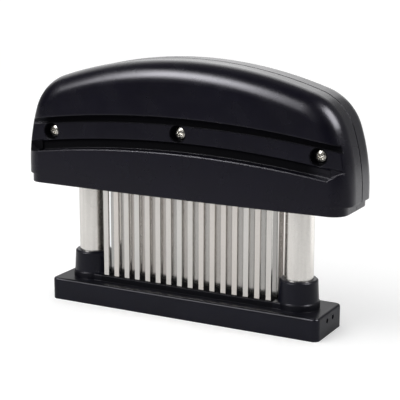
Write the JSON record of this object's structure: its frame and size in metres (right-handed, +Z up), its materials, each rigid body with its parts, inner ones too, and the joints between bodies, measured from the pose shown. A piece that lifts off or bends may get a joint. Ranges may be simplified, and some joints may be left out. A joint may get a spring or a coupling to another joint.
{
  "type": "blade meat tenderizer",
  "caption": "Hand-pressed meat tenderizer: a domed handle with rows of flat blades slides on two steel posts and drives the blades through a slotted base.",
  "frame": {"origin": "centre of the object's footprint, on the underside of the base", "axes": "+X along the handle, -Y towards the face with the screws, +Z up along the posts"},
  "size_m": [0.15, 0.0324, 0.1075],
  "materials": {
    "handle_plastic": "moulded black plastic, satin gloss",
    "base_plastic": "moulded black plastic, gloss",
    "carrier_plastic": "moulded black plastic, fine matt texture",
    "peg_nylon": "natural nylon, matt",
    "post_steel": "stainless tube, centreless-ground satin",
    "blade_steel": "polished stainless strip",
    "spring_steel": "drawn spring wire",
    "screw_nickel": "nickel-plated steel"
  },
  "bodies": {
    "base": {"base_plate": "base_plastic", "base_rod_front": "blade_steel", "base_rod_rear": "blade_steel", "post_left": "post_steel", "post_right": "post_steel", "post_plug_left": "screw_nickel", "post_plug_right": "screw_nickel", "post_screw_left": "screw_nickel", "post_screw_right": "screw_nickel", "post_clip_left": "spring_steel", "post_clip_right": "spring_steel", "spring_left": "spring_steel", "spring_right": "spring_steel"},
    "handle": {"handle_front_shell": "handle_plastic", "handle_rear_shell": "handle_plastic", "blade_carrier": "carrier_plastic", "blade_clamp_plate": "carrier_plastic", "blade_row_front": "blade_steel", "blade_row_middle": "blade_steel", "blade_row_rear": "blade_steel", "case_screw_left": "screw_nickel", "case_screw_middle": "screw_nickel", "case_screw_right": "screw_nickel", "spring_peg_left": "peg_nylon", "spring_peg_right": "peg_nylon"}
  },
  "joints": [
    {"name": "handle_press", "type": "slide", "parent": "base", "child": "handle", "axis": [0, 0, -1], "range_m": [0, 0.03], "stiffness_N_per_m": 1600, "springref_m": -0.01, "deforming": ["spring_left", "spring_right"]}
  ]
}
